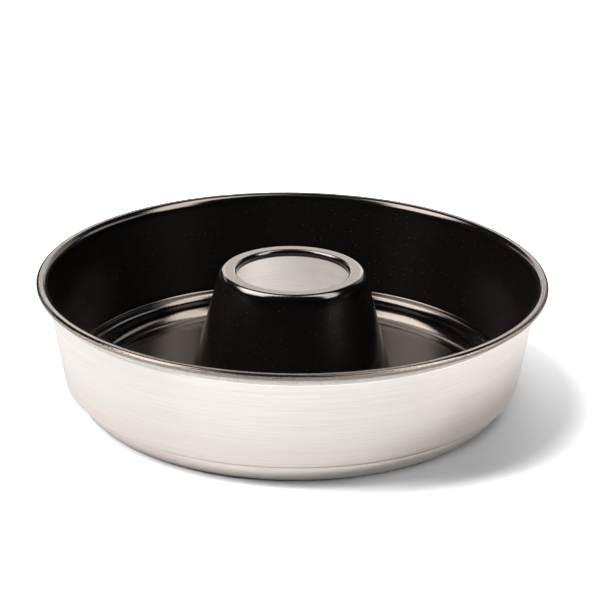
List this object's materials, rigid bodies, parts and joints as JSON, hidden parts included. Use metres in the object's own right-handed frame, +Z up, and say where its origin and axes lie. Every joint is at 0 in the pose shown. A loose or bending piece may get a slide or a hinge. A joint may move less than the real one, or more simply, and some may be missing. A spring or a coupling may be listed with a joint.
{
  "type": "ring cake pan",
  "caption": "Round ring cake pan: tapered brushed aluminium wall with a rolled rim and stepped foot, an open centre cone, and a black non-stick inside.",
  "frame": {"origin": "on the pan's axis, at the surface that it stands on", "axes": "+Z up along the axis of the cone, +X to the right and -Y towards the viewer of the picture"},
  "size_m": [0.25, 0.25, 0.0637],
  "materials": {
    "brushed_aluminium": "brushed round the axis, bare",
    "nonstick_coat": "gloss black with fine pale specks"
  },
  "bodies": {
    "root": {"pan_shell": "brushed_aluminium", "centre_cone": "brushed_aluminium", "pan_coating": "nonstick_coat", "cone_coating": "nonstick_coat"}
  },
  "joints": []
}
